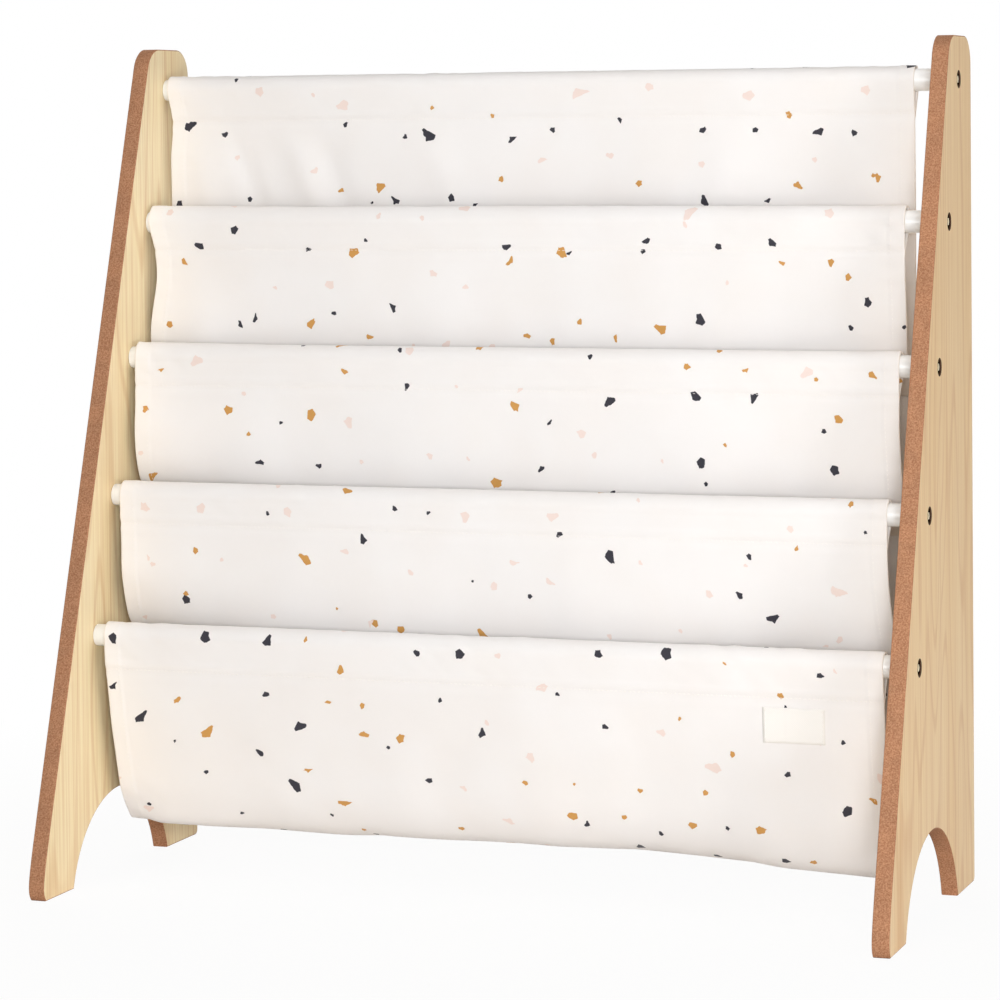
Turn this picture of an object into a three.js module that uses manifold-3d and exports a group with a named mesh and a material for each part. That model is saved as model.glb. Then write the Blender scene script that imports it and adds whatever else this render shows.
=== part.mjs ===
// Sling bookshelf for a child's room: two sloping side panels, five rods and cloth slings.
// Millimetres. +X runs to the right, +Y to the back, +Z up. The origin lies on the floor,
// under the middle of the shelf.
//
// Every piece is drawn in side view: x runs to the back, y up and z across to the right.
// One group at the end turns the side view into the shelf's own axes.

import * as THREE from 'three';
import { mergeVertices } from 'three/addons/utils/BufferGeometryUtils.js';
import Module from 'manifold-3d';

const wasm = await Module();
wasm.setup();

// The whole shelf
const overallHeight = 610;
const overallDepth = 266;
const clearWidth = 603; // between the inner faces of the side panels
const seatGap = 0.3; // left between pieces that touch
const cutOverrun = 5; // how far a cutting shape runs past a face

// Side panels
const panelThickness = 12;
const topWidth = 68.4; // front to back at the top, before its corners are rounded
const topCornerRadius = 20;
const heelRadius = 4;
const toeCornerHeight = 16.5; // where the sloping front edge would meet the foremost upright line
const toeUndercut = 3.5;
const frontFootLength = 48.5;
const rearFootLength = 56.5;
const archHeight = 61.5;

// Heights of the toe's foremost point and of the end of its curve, as shares of toeCornerHeight
const toePointShare = 0.55;
const toeBlendShare = 2.5;
const toeRoundShare = 0.2;

// Rods
const rodCount = 5;
const rodDiameter = 16;
const rodWall = 1.2;
const rodRise = 100; // height from one rod to the next
const topRodBelowTop = 31;
const rodFrontMargin = 38.7; // front edge of the panel to the rod's axis, front to back

// Threaded inserts in the tube ends, and the screws
const insertLength = 22;
const shankDiameter = 6;
const shankPointLength = 1.2;
const threadReach = 18; // how far the screw reaches into the insert
const headDiameter = 12.2;
const headEdge = 0.6; // bevel round the head
const headRecess = 0.8; // below the panel's outer face
const counterboreDiameter = 13;
const counterboreDepth = 4;
const socketWidth = 4; // across the flats of the hexagon
const socketDepth = 2;

// Cloth
const clothThickness = 1.2;
const clothLeftGap = 7; // between the left panel and the cloth
const clothRightGap = 18; // the slings sit a little to the left on the rods
const sleeveClearance = 0.4; // between the rod and the cloth round it
const slingSeamDrop = 24; // the big sling's seams, below the axes of its two rods
const tierSeamDrop = 20.5; // a tier panel's seam, below its rod's axis
const slingSeamForward = 5; // the big sling's seams, in front of the axes of its two rods
const tierSeamForward = 7.5; // a tier panel's seam, in front of its rod's axis
const seamLip = 2; // both layers of a sleeve end this far below its seam
const backForward = 4; // the back sheet in front of the top rod's axis
const tierForward = 7; // a tier panel in front of its rod's axis where it starts to turn back
const tierTurnDrop = 65; // where a tier panel starts to turn back, below the rod's axis
const tierDrop = 126; // where a tier panel meets the back sheet, below the rod's axis
const slingDrop = 148; // the lowest point of the big sling, below the lowest rod's axis

// The big sling's curve, from the end of its flat front to the start of its upright back:
// shares of the depth from the lowest rod to the back sheet, and of slingDrop
const slingCurveShares = [
  [0.02, 0.45], [0.08, 0.61], [0.14, 0.77], [0.22, 0.885], [0.32, 0.96],
  [0.5, 1], [0.71, 0.965], [0.875, 0.865], [0.97, 0.71], [1, 0.51],
];

// Soft upright folds at the left end of the cloth, and the bottom's sag at the right end
const foldDepth = 2.4;
const foldPitch = 170;
const foldRamp = 42; // below a seam, the height over which the folds grow to full depth
const rightSag = 8;
const foldFadeShare = 0.1; // of half the cloth's width, right of the middle, where the folds end
const sagStartShare = 0.1; // of half the cloth's width, right of the middle, where the sag starts
const sagRampShare = 0.4; // of slingDrop, where the sag starts below the lowest rod

// Sewn label on the front of the big sling
const labelWidth = 44;
const labelHeight = 25;
const labelThickness = 0.6;
const labelDrop = 43; // its middle, below the lowest rod's axis
const labelFromEnd = 57.5; // its middle, from the cloth's right end

// Facets
const arcSteps = 6;
const archSteps = 24;
const rodFacets = 24;
const insertFacets = 16;
const screwFacets = 20;
const boreFacets = 20;
const socketFacets = 6;
const sleeveSteps = 8;
const tierSteps = 8;
const slingSteps = 17;
const clothSteps = 12;

const rearEdge = overallDepth / 2;
const toeFront = -overallDepth / 2;
const rodRadius = rodDiameter / 2;
const innerFace = clearWidth / 2;
const clothLeftEnd = clothLeftGap - innerFace;
const clothRightEnd = innerFace - clothRightGap;
const clothWidth = clothRightEnd - clothLeftEnd;

// Depth of the panels' sloping front edge at a height
function frontEdgeDepth(height) {
  const slope = (overallDepth - topWidth) / (overallHeight - toeCornerHeight);
  return toeFront + (height - toeCornerHeight) * slope;
}

// Axis of a rod in side view; rod 0 is the top one
function rodCentre(index) {
  const height = overallHeight - topRodBelowTop - index * rodRise;
  return new THREE.Vector2(frontEdgeDepth(height) + rodFrontMargin, height);
}

const rods = Array.from({ length: rodCount }, (_, index) => rodCentre(index));
const topRod = rods[0];
const lowRod = rods[rodCount - 1];
const backPlane = topRod.x - backForward;

// Points on a round corner of an outline
function roundCorner(before, corner, after, radius) {
  const toBefore = before.clone().sub(corner).normalize();
  const toAfter = after.clone().sub(corner).normalize();
  const halfAngle = toBefore.angleTo(toAfter) / 2;
  const toCentre = toBefore.clone().add(toAfter).normalize();
  const centre = corner.clone().addScaledVector(toCentre, radius / Math.sin(halfAngle));
  const reach = radius / Math.tan(halfAngle);
  const start = corner.clone().addScaledVector(toBefore, reach).sub(centre).angle();
  const end = corner.clone().addScaledVector(toAfter, reach).sub(centre).angle();
  const clockwise = toBefore.cross(toAfter) > 0;
  return new THREE.EllipseCurve(centre.x, centre.y, radius, radius, start, end, clockwise)
    .getPoints(arcSteps);
}

// The toe: a soft curve from the floor up to the sloping front edge
function toePoints() {
  const floorCorner = new THREE.Vector2(toeFront + toeUndercut, 0);
  const foremost = new THREE.Vector2(toeFront, toeCornerHeight * toePointShare);
  const blendHeight = toeCornerHeight * toeBlendShare;
  const blend = new THREE.Vector2(frontEdgeDepth(blendHeight), blendHeight);
  const underBend = new THREE.Vector2(toeFront, toeCornerHeight * toeRoundShare);
  const upperBend = new THREE.Vector2(toeFront, toeCornerHeight);
  const under = new THREE.QuadraticBezierCurve(floorCorner, underBend, foremost);
  const upper = new THREE.QuadraticBezierCurve(foremost, upperBend, blend);
  return [...under.getPoints(arcSteps), ...upper.getPoints(arcSteps).slice(1)];
}

// The arch between the feet, a part of a circle, from the rear foot to the front one
function archPoints() {
  const front = toeFront + frontFootLength;
  const rear = rearEdge - rearFootLength;
  const halfSpan = (rear - front) / 2;
  const radius = (halfSpan ** 2 + archHeight ** 2) / (2 * archHeight);
  const halfAngle = Math.atan2(halfSpan, radius - archHeight);
  const middle = (front + rear) / 2;
  const start = Math.PI / 2 - halfAngle;
  const end = Math.PI / 2 + halfAngle;
  return new THREE.EllipseCurve(middle, archHeight - radius, radius, radius, start, end)
    .getPoints(archSteps)
    .map((point) => new THREE.Vector2(point.x, Math.max(point.y, 0)));
}

function panelShape() {
  const topFront = new THREE.Vector2(rearEdge - topWidth, overallHeight);
  const topRear = new THREE.Vector2(rearEdge, overallHeight);
  const heel = new THREE.Vector2(rearEdge, 0);
  const toe = toePoints();
  const arch = archPoints();
  return new THREE.Shape([
    ...toe,
    ...roundCorner(toe[toe.length - 1], topFront, topRear, topCornerRadius),
    ...roundCorner(topFront, topRear, heel, topCornerRadius),
    ...roundCorner(topRear, heel, arch[0], heelRadius),
    ...arch,
  ]);
}

// Solids for cutting: a closed mesh with shared vertices, and back again
function toSolid(geometry) {
  const bare = geometry.clone();
  bare.deleteAttribute('normal');
  bare.deleteAttribute('uv');
  const merged = mergeVertices(bare);
  return new wasm.Manifold(new wasm.Mesh({
    numProp: 3,
    vertProperties: new Float32Array(merged.attributes.position.array),
    triVerts: new Uint32Array(merged.index.array),
  }));
}

function toGeometry(solid) {
  const { vertProperties, triVerts } = solid.getMesh();
  const geometry = new THREE.BufferGeometry();
  geometry.setAttribute('position', new THREE.BufferAttribute(vertProperties, 3));
  geometry.setIndex(new THREE.BufferAttribute(triVerts, 1));
  geometry.computeVertexNormals();
  return geometry;
}

// A cylinder across the shelf, from one across position to another
function crossCylinder(centre, diameter, from, to, facets) {
  const geometry = new THREE.CylinderGeometry(diameter / 2, diameter / 2, to - from, facets);
  geometry.rotateX(Math.PI / 2);
  geometry.translate(centre.x, centre.y, (from + to) / 2);
  return geometry;
}

function namedMesh(name, geometry, color, roughness, metalness) {
  const material = new THREE.MeshStandardMaterial({ color, roughness, metalness });
  const mesh = new THREE.Mesh(geometry, material);
  mesh.name = name;
  return mesh;
}

// Panels: outward is +1 on the right and -1 on the left
function sidePanel(name, outward) {
  const slab = new THREE.ExtrudeGeometry(panelShape(), {
    depth: panelThickness,
    bevelEnabled: false,
  });
  let solid = toSolid(slab);
  const outerFace = outward > 0 ? panelThickness : 0;
  const counterboreFloor = outerFace - outward * counterboreDepth;
  const counterboreMouth = outerFace + outward * cutOverrun;
  for (const rod of rods) {
    const holeDiameter = shankDiameter + 2 * seatGap;
    const hole = crossCylinder(rod, holeDiameter, -cutOverrun, panelThickness + cutOverrun, boreFacets);
    const low = Math.min(counterboreFloor, counterboreMouth);
    const high = Math.max(counterboreFloor, counterboreMouth);
    const counterbore = crossCylinder(rod, counterboreDiameter, low, high, boreFacets);
    solid = solid.subtract(toSolid(hole)).subtract(toSolid(counterbore));
  }
  const panel = namedMesh(name, toGeometry(solid), 0xeccf9e, 0.5, 0);
  panel.position.z = outward > 0 ? innerFace : -innerFace - panelThickness;
  return panel;
}

// Turned pieces lie along z: the profile's radius and its place along the axis
function turned(profile, facets) {
  const points = profile.map(([radius, along]) => new THREE.Vector2(radius, along));
  const geometry = new THREE.LatheGeometry(points, facets);
  geometry.rotateX(Math.PI / 2);
  return geometry;
}

function tubeProfile(outerRadius, boreRadius, length) {
  return [
    [boreRadius, 0],
    [outerRadius, 0],
    [outerRadius, length],
    [boreRadius, length],
    [boreRadius, 0],
  ];
}

function rod(index) {
  const length = clearWidth - 2 * seatGap;
  const geometry = turned(tubeProfile(rodRadius, rodRadius - rodWall, length), rodFacets);
  const tube = namedMesh(`rod_${index + 1}`, geometry, 0xf4f5f6, 0.3, 0.1);
  tube.position.set(rods[index].x, rods[index].y, -length / 2);
  return tube;
}

function insert(index, outward) {
  const outerRadius = rodRadius - rodWall - seatGap;
  const boreRadius = shankDiameter / 2 + seatGap;
  const geometry = turned(tubeProfile(outerRadius, boreRadius, insertLength), insertFacets);
  const sideName = outward > 0 ? 'right' : 'left';
  const plug = namedMesh(`rod_${index + 1}_insert_${sideName}`, geometry, 0x9a9da0, 0.5, 0.6);
  const rodEnd = innerFace - seatGap;
  plug.position.set(rods[index].x, rods[index].y, outward > 0 ? rodEnd - insertLength : -rodEnd);
  return plug;
}

// Screw from its tip to the top of its head, with a hexagon socket
function screwGeometry() {
  const shankRadius = shankDiameter / 2;
  const headRadius = headDiameter / 2;
  const headHeight = counterboreDepth - seatGap - headRecess;
  const shankLength = threadReach + panelThickness - counterboreDepth + 2 * seatGap;
  const length = shankLength + headHeight;
  const body = turned([
    [0, 0],
    [shankRadius - shankPointLength, 0],
    [shankRadius, shankPointLength],
    [shankRadius, shankLength],
    [headRadius, shankLength],
    [headRadius, length - headEdge],
    [headRadius - headEdge, length],
    [0, length],
  ], screwFacets);
  const socketDiameter = socketWidth / Math.cos(Math.PI / socketFacets);
  const axis = new THREE.Vector2();
  const socket = crossCylinder(axis, socketDiameter, length - socketDepth, length + cutOverrun, socketFacets);
  return toGeometry(toSolid(body).subtract(toSolid(socket)));
}

function screw(index, outward) {
  const sideName = outward > 0 ? 'right' : 'left';
  const mesh = namedMesh(`rod_${index + 1}_screw_${sideName}`, screwGeometry(), 0x3a2c22, 0.4, 0.7);
  const tip = innerFace - seatGap - threadReach;
  mesh.position.set(rods[index].x, rods[index].y, outward * tip);
  mesh.rotation.y = outward > 0 ? 0 : Math.PI;
  return mesh;
}

// Points shifted square to a line of points; a positive distance lies to the left of travel
function shiftedLine(points, distance) {
  return points.map((point, index) => {
    const before = points[Math.max(index - 1, 0)];
    const after = points[Math.min(index + 1, points.length - 1)];
    const along = after.clone().sub(before).normalize();
    return new THREE.Vector2(point.x - along.y * distance, point.y + along.x * distance);
  });
}

// Cloth round a rod, like a belt: an arc over the rod between the two straight stretches
// that come up from the seam. It runs from the front of the seam to the rear.
function beltArc(centre, radius, seam) {
  const toSeam = seam.clone().sub(centre);
  const half = Math.acos(radius / toSeam.length());
  const front = toSeam.angle() - half;
  const rear = toSeam.angle() + half - 2 * Math.PI;
  return new THREE.EllipseCurve(centre.x, centre.y, radius, radius, front, rear, true)
    .getPoints(sleeveSteps);
}

function seamPoint(rodAxis, forward, drop) {
  return new THREE.Vector2(rodAxis.x - forward, rodAxis.y - drop);
}

// The end of a sleeve's doubled cloth, below its seam
function lipPoint(seam, next) {
  return seam.clone().addScaledVector(next.clone().sub(seam).normalize(), seamLip);
}

// Outside of a sleeve, from the front of its seam over the rod to the rear of its seam
function sleeveOutside(rodAxis, seam) {
  const arc = beltArc(rodAxis, rodRadius + sleeveClearance + clothThickness, seam);
  const front = new THREE.Vector2(seam.x - clothThickness, seam.y);
  const rear = new THREE.Vector2(seam.x + clothThickness, seam.y);
  return [front, ...arc, rear];
}

// Inside of a sleeve; a hole runs the other way round from its outline
function sleeveHole(rodAxis, seam) {
  const apex = new THREE.Vector2(seam.x, seam.y + clothThickness);
  return new THREE.Path([apex, ...beltArc(rodAxis, rodRadius + sleeveClearance, apex)].reverse());
}

// Middle of a tier panel in section: from its seam down, then back to the back sheet
function tierLine(rodAxis) {
  const seam = seamPoint(rodAxis, tierSeamForward, tierSeamDrop);
  const turn = new THREE.Vector2(rodAxis.x - tierForward, rodAxis.y - tierTurnDrop);
  const reach = backPlane - clothThickness / 2 - seatGap - turn.x;
  const fall = tierDrop - tierTurnDrop;
  const centre = new THREE.Vector2(turn.x + reach, turn.y);
  const curve = new THREE.EllipseCurve(centre.x, centre.y, reach, fall, Math.PI, 1.5 * Math.PI);
  return [seam, ...curve.getPoints(tierSteps)];
}

function tierSection(rodAxis) {
  const [seam, ...hanging] = tierLine(rodAxis);
  const tail = [lipPoint(seam, hanging[0]), ...hanging];
  const rearSide = shiftedLine(tail, clothThickness / 2);
  const frontSide = shiftedLine(tail, -clothThickness / 2).reverse();
  const shape = new THREE.Shape([...sleeveOutside(rodAxis, seam), ...rearSide, ...frontSide]);
  shape.holes.push(sleeveHole(rodAxis, seam));
  return shape;
}

// Middle of the big sling in section: from the lowest rod's seam, down its flat front, round
// the bottom and up the back to the top rod's seam
function slingLine() {
  const depth = backPlane - lowRod.x;
  const curve = new THREE.SplineCurve(slingCurveShares.map(([depthShare, dropShare]) => (
    new THREE.Vector2(lowRod.x + depth * depthShare, lowRod.y - slingDrop * dropShare)
  )));
  const topSeam = seamPoint(topRod, slingSeamForward, slingSeamDrop);
  const backTop = new THREE.Vector2(backPlane, topSeam.y - foldRamp);
  const lowSeam = seamPoint(lowRod, slingSeamForward, slingSeamDrop);
  return [lowSeam, ...curve.getPoints(slingSteps), backTop, topSeam];
}

function slingSection() {
  const line = slingLine();
  const lowSeam = line[0];
  const topSeam = line[line.length - 1];
  const hanging = line.slice(1, -1);
  const lowLip = lipPoint(lowSeam, hanging[0]);
  const topLip = lipPoint(topSeam, hanging[hanging.length - 1]);
  const tail = [lowLip, ...hanging, topLip];
  const insideEdge = shiftedLine(tail, clothThickness / 2);
  const outsideEdge = shiftedLine(tail, -clothThickness / 2).reverse();
  const shape = new THREE.Shape([
    ...sleeveOutside(lowRod, lowSeam),
    ...insideEdge,
    ...sleeveOutside(topRod, topSeam),
    ...outsideEdge,
  ]);
  shape.holes.push(sleeveHole(lowRod, lowSeam), sleeveHole(topRod, topSeam));
  return shape;
}

// How far cloth at an across position is folded back, under a seam at a height
function foldAt(across, height, seamHeight) {
  const grown = THREE.MathUtils.clamp((seamHeight - height) / foldRamp, 0, 1);
  const halfWidth = clothWidth / 2;
  const fromLeft = THREE.MathUtils.smoothstep(-across, -halfWidth * foldFadeShare, halfWidth);
  return foldDepth * grown * fromLeft * Math.sin((2 * Math.PI * across) / foldPitch);
}

// How far the bottom of the big sling sags at an across position and a height
function sagAt(across, height) {
  const halfWidth = clothWidth / 2;
  const fromMiddle = THREE.MathUtils.smoothstep(across, halfWidth * sagStartShare, halfWidth);
  const below = THREE.MathUtils.smoothstep(lowRod.y - height, slingDrop * sagRampShare, slingDrop);
  return rightSag * fromMiddle * below;
}

// Cloth drawn out across the shelf, then folded; the across positions run left to right
function clothGeometry(section, bend) {
  const geometry = new THREE.ExtrudeGeometry(section, {
    depth: clothWidth,
    steps: clothSteps,
    bevelEnabled: false,
  });
  geometry.translate(0, 0, clothLeftEnd);
  const place = geometry.attributes.position;
  const point = new THREE.Vector3();
  for (let index = 0; index < place.count; index += 1) {
    point.fromBufferAttribute(place, index);
    bend(point);
    place.setXYZ(index, point.x, point.y, point.z);
  }
  geometry.computeVertexNormals();
  return geometry;
}

function tierPanel(index) {
  const rodAxis = rods[index];
  const seamHeight = rodAxis.y - tierSeamDrop;
  const bend = (point) => {
    point.x += foldAt(point.z, point.y, seamHeight);
  };
  const geometry = clothGeometry(tierSection(rodAxis), bend);
  return namedMesh(`tier_panel_${index + 1}`, geometry, 0xfbf3ef, 0.9, 0);
}

// The front of the big sling hangs from the lowest rod, the back from the top rod
function bendSling(point) {
  const inFront = point.x < (lowRod.x + backPlane) / 2;
  const seamHeight = (inFront ? lowRod.y : topRod.y) - slingSeamDrop;
  const fold = foldAt(point.z, point.y, seamHeight);
  const sag = sagAt(point.z, point.y);
  point.x += fold;
  point.y -= sag;
}

function slingSheet() {
  const geometry = clothGeometry(slingSection(), bendSling);
  return namedMesh('sling_sheet', geometry, 0xfbf3ef, 0.9, 0);
}

// The label lies flat on the straight front of the sling
function sewnLabel() {
  const [top, frontEnd] = slingLine();
  const down = frontEnd.clone().sub(top).normalize();
  const outward = new THREE.Vector2(down.y, -down.x);
  const start = (labelDrop - labelHeight / 2 - slingSeamDrop) / -down.y;
  const inner = clothThickness / 2 + seatGap;
  const corner = (along, out) => (
    top.clone().addScaledVector(down, along).addScaledVector(outward, out)
  );
  const section = new THREE.Shape([
    corner(start, inner),
    corner(start + labelHeight, inner),
    corner(start + labelHeight, inner + labelThickness),
    corner(start, inner + labelThickness),
  ]);
  const geometry = new THREE.ExtrudeGeometry(section, { depth: labelWidth, bevelEnabled: false });
  const label = namedMesh('sewn_label', geometry, 0xfff8ec, 0.8, 0);
  label.position.z = clothRightEnd - labelFromEnd - labelWidth / 2;
  return label;
}

// Everything is added in side view, then turned: x to +Y, y to +Z and z to +X
const sideView = new THREE.Group();
sideView.rotation.set(Math.PI / 2, Math.PI / 2, 0);

sideView.add(sidePanel('side_panel_left', -1), sidePanel('side_panel_right', 1));
for (let index = 0; index < rodCount; index += 1) {
  sideView.add(rod(index));
  for (const outward of [-1, 1]) {
    sideView.add(insert(index, outward), screw(index, outward));
  }
}
sideView.add(slingSheet());
for (let index = 1; index < rodCount - 1; index += 1) {
  sideView.add(tierPanel(index));
}
sideView.add(sewnLabel());

const slingBookshelf = new THREE.Group();
slingBookshelf.name = 'sling_bookshelf';
slingBookshelf.add(sideView);

export default slingBookshelf;
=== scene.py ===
# %% [markdown]
# # Dressing a sling bookshelf
# The real thing is a small shelf for a child's room. Two fibreboard side panels hold five white
# steel rods, and printed cotton slings hang from the rods so that picture books face out.
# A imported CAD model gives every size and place. It is loaded first and never moved: this lesson
# builds finer pieces over it and gives each one its real finish.

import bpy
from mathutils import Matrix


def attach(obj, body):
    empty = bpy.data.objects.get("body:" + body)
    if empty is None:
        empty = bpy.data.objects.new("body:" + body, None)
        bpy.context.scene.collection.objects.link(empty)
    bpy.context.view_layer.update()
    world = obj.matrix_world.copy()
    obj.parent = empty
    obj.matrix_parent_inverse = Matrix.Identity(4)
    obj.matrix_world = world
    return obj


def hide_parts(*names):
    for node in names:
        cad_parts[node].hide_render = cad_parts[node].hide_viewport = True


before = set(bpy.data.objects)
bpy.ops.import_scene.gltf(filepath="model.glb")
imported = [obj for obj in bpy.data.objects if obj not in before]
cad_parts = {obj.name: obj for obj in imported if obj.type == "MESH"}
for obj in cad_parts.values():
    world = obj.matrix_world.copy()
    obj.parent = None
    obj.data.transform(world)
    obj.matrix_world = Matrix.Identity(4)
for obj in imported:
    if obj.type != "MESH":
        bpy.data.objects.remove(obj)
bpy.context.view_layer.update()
print("nodes in the packed model:", len(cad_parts))

# %% Modules and the unit
import math

import bmesh
import bpy
from mathutils import Matrix, Vector, geometry, noise

MM = 0.001  # Blender works in metres, and furniture is drawn in millimetres
METRE = 1000  # in millimetres, so a pattern with features 14 mm wide has a scale of METRE / 14
print("a millimetre is", MM, "of Blender's units")

# %% [markdown]
# ## Camera
# A product photograph is mostly taken with a long lens from a few metres away, so that upright
# edges stay nearly parallel. The lens is also shifted down a little, as on a view camera: the
# camera looks almost level, and the shelf still sits in the middle of the picture.
# Setting the real lens, place and shift is simpler than tilting and cropping.

# %% Helper: put a new object in the scene
def put_in_scene(name, data):
    thing = bpy.data.objects.new(name, data)
    bpy.context.scene.collection.objects.link(thing)
    return thing


# %% Camera
camera_data = bpy.data.cameras.new("portrait_camera")
camera_data.sensor_width = 36
camera_data.lens = 130.97
camera_data.shift_y = -0.236
camera = put_in_scene("portrait_camera", camera_data)
bpy.context.scene.camera = camera

turn_left, tilt_down, roll = math.radians(19.5), math.radians(2.061), math.radians(-0.557)
camera.matrix_world = (
    Matrix.Translation((0.867, -2.447, 0.544))
    @ Matrix.Rotation(turn_left, 4, "Z")
    @ Matrix.Rotation(math.pi / 2 - tilt_down, 4, "X")
    @ Matrix.Rotation(roll, 4, "Z")
)
print("camera stands", round(camera.location.length, 2), "m from the shelf's foot")

# %% [markdown]
# ## Colours and nodes
# Designers write colours as sRGB hex codes, while a shader adds up light, which is linear.
# One function turns the first into the second. A second one fills the inputs of a node: a number
# or colour is set, and another node is linked by its first output in use. The third adds a node
# with its settings and inputs, so that each material reads as a list of what its surface has.
# A pattern is read from the object's own place, or on cloth from its UV map along the weave.

# %% Helpers for materials
def colour(hex_code):
    channels = [int(hex_code[start:start + 2], 16) / 255 for start in (1, 3, 5)]
    return [c / 12.92 if c <= 0.04045 else ((c + 0.055) / 1.055) ** 2.4 for c in channels] + [1]


def fill(node, inputs):
    for name, value in inputs.items():
        if isinstance(value, bpy.types.Node):
            value = next(output for output in value.outputs if output.enabled)
        if isinstance(value, bpy.types.NodeSocket):
            node.id_data.links.new(value, node.inputs[name])
        else:
            node.inputs[name].default_value = value


def add(tree, kind, inputs=None, **settings):
    node = tree.nodes.new("ShaderNode" + kind)
    for name, value in settings.items():
        setattr(node, name, value)
    fill(node, inputs or {})
    return node


def new_material(name, along_weave=False):
    """A material, its tree and shader, and the place that its patterns read, in metres."""
    material = bpy.data.materials.new(name)
    material.use_nodes = True
    tree = material.node_tree
    if along_weave:
        place = add(tree, "UVMap", uv_map="cloth").outputs["UV"]
    else:
        place = add(tree, "TexCoord").outputs["Object"]
    return material, tree, tree.nodes["Principled BSDF"], place


print("#808080 is", round(colour("#808080")[0], 3), "in linear light")

# %% [markdown]
# ## Maple-grain foil on the side panels
# The faces of the panels are fibreboard laminated with a printed paper foil that looks like pale
# maple: long upright streaks, a few wider growth rings, and a satin lacquer. Wood grain is
# stretched noise. The rings come from a very soft noise whose height lines are drawn by a sine,
# as on a map, and the streaks from a fine one that is a hundred times longer than wide.

# %% Material: maple foil, its grain
maple_foil, tree, shader, place = new_material("maple_grain_foil")


def grain(changes, wide, long, detail):
    """Noise in patches of wide by long millimetres; it changes this often in a metre across."""
    stretched = add(tree, "Mapping", {"Vector": place,
                                      "Scale": (changes, METRE / wide, METRE / long)})
    return add(tree, "TexNoise", {"Vector": stretched, "Scale": 1, "Detail": detail})


# Growth rings: one noise, 60 mm wide and 520 mm long, drawn as thin height lines
ring_height = grain(7, 60, 520, 1.2)
ring_turns = add(tree, "Math", {0: ring_height, 1: 64.0}, operation="MULTIPLY")
ring_wave = add(tree, "Math", {0: ring_turns}, operation="SINE")
ring_line = add(tree, "MapRange", {"Value": ring_wave, "From Min": 0.62, "From Max": 1.0})
# Streaks: a fine one, 1.1 mm wide and 130 mm long, and a broad one, 3.5 mm by 380 mm
fine = grain(9, 1.1, 130, 2)
fine_share = add(tree, "MapRange", {"Value": fine, "From Min": 0.45, "From Max": 0.66})
broad = grain(9, 3.5, 380, 1.5)
broad_share = add(tree, "MapRange", {"Value": broad, "From Min": 0.45, "From Max": 0.65})
# Lighter and darker board, 40 mm wide
band = grain(7, 40, 700, 1)
band_share = add(tree, "MapRange", {"Value": band, "From Min": 0.3, "From Max": 0.7})
print("the grain takes", len(tree.nodes), "nodes")

# %% Material: maple foil, its colours
wood = add(tree, "Mix", {0: band_share, 6: colour("#FDECC4"), 7: colour("#F8E1B2")},
           data_type="RGBA")
for share, strength, tone in ((ring_line, 0.30, "#D09A5F"), (broad_share, 0.24, "#DDB07A"),
                              (fine_share, 0.32, "#D8AA70")):
    amount = add(tree, "Math", {0: share, 1: strength}, operation="MULTIPLY")
    wood = add(tree, "Mix", {0: amount, 6: wood, 7: colour(tone)},
               data_type="RGBA")
# Painted shade: the right board's foil is multiplied a shade darker and rosier, standing for the
# weaker light on its outer face
across = add(tree, "SeparateXYZ", {"Vector": place})
right_board_painted_shade = add(tree, "MapRange", {"Value": across.outputs[0], "From Min": -0.05,
                                           "From Max": 0.05})
wood = add(tree, "Mix", {0: right_board_painted_shade, 6: wood,
                         7: (0.97, 0.86, 0.77, 1)}, data_type="RGBA", blend_type="MULTIPLY")
gloss = add(tree, "MapRange", {"Value": fine, "To Min": 0.42, "To Max": 0.55})
# The lacquer follows the pores a little: 0.02 mm deep
pores = add(tree, "Bump", {"Height": fine, "Distance": 0.02 * MM, "Strength": 0.6})
fill(shader, {"Base Color": wood, "Roughness": gloss, "Normal": pores})
print("maple foil has", len(tree.nodes), "nodes")

# %% [markdown]
# ## Raw fibreboard edges
# Where the panel was milled, the board shows: pressed wood fibre, brown and dull, with lighter
# and darker flecks about a millimetre across. Two noises do it, one for the flecks and one for
# the soft cloudiness of the pressed fibre. It gives the eye the dark outline round each panel.

# %% Material: raw fibreboard
raw_board, tree, shader, place = new_material("raw_fibreboard")
fleck = add(tree, "TexNoise", {"Vector": place, "Scale": METRE / 1.1, "Detail": 2.5,
                               "Roughness": 0.7})
fleck_share = add(tree, "MapRange", {"Value": fleck, "From Min": 0.36, "From Max": 0.64})
cloud = add(tree, "TexNoise", {"Vector": place, "Scale": METRE / 14, "Detail": 2})
cloud_share = add(tree, "MapRange", {"Value": cloud, "From Min": 0.35, "From Max": 0.65})
flecked = add(tree, "Mix", {0: fleck_share, 6: colour("#A06C4D"), 7: colour("#C5926F")},
              data_type="RGBA")
clouded = add(tree, "Mix", {0: cloud_share, 6: (0.93, 0.93, 0.93, 1), 7: (1.05, 1.04, 1.03, 1)},
              data_type="RGBA")
board_colour = add(tree, "Mix", {0: 1.0, 6: flecked, 7: clouded},
                   data_type="RGBA", blend_type="MULTIPLY")
fuzz = add(tree, "Bump", {"Height": fleck, "Distance": 0.10 * MM, "Strength": 0.6})
fill(shader, {"Base Color": board_colour, "Normal": fuzz, "Roughness": 0.85,
              "Specular IOR Level": 0.25})

# The walls of the screw holes are the same fibre drawn in dark brown: painted shade of the recess
bore_shade_board, tree, shader, place = new_material("fibreboard_painted_bore_shade")
fleck = add(tree, "TexNoise", {"Vector": place, "Scale": METRE / 1.1, "Detail": 2.5})
bore_shade_tone = add(tree, "Mix", {0: fleck, 6: colour("#3A2415"), 7: colour("#5E3F28")},
            data_type="RGBA")
fill(shader, {"Base Color": bore_shade_tone, "Roughness": 0.7})
print("raw and burnished board ready")

# %% [markdown]
# ## White powder coat, zinc and bronzed steel
# The rods are steel tube with a white powder coat: baked on, a little wavy like orange peel, and
# half glossy. The inserts in the tube ends are zinc plated and the screws are bronzed, a thin dark
# brown oxide over steel. On metal the base colour is the colour of the reflection itself.

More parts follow.
